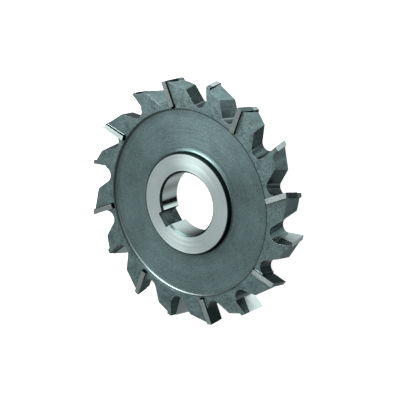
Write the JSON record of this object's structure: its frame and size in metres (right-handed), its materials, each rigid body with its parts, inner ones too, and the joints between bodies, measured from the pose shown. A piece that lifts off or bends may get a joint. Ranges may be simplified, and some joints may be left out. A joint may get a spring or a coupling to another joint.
{
  "type": "side and face milling cutter",
  "caption": "Side and face milling cutter: steel disc with keyed bore, raised ground hub, recessed web and slanted carbide-tipped teeth that cut on alternate sides.",
  "frame": {"origin": "on the bore axis, in the plane of the back hub face that the cutter rests on when it lies flat", "axes": "+Z along the bore axis, from the back face to the front face; +Y through the middle of the keyway; seen from the front the cutting edges lead anticlockwise"},
  "size_m": [0.125, 0.125, 0.014],
  "materials": {
    "body_steel": "satin, darkened on the web and the teeth, ground bright on the hub and in the bore",
    "tip_carbide": "fine ground, light grey"
  },
  "bodies": {
    "root": {"cutter_body": "body_steel", "tip_front_01": "tip_carbide", "tip_front_02": "tip_carbide", "tip_front_03": "tip_carbide", "tip_front_04": "tip_carbide", "tip_front_05": "tip_carbide", "tip_front_06": "tip_carbide", "tip_front_07": "tip_carbide", "tip_front_08": "tip_carbide", "tip_back_01": "tip_carbide", "tip_back_02": "tip_carbide", "tip_back_03": "tip_carbide", "tip_back_04": "tip_carbide", "tip_back_05": "tip_carbide", "tip_back_06": "tip_carbide", "tip_back_07": "tip_carbide", "tip_back_08": "tip_carbide"}
  },
  "joints": []
}
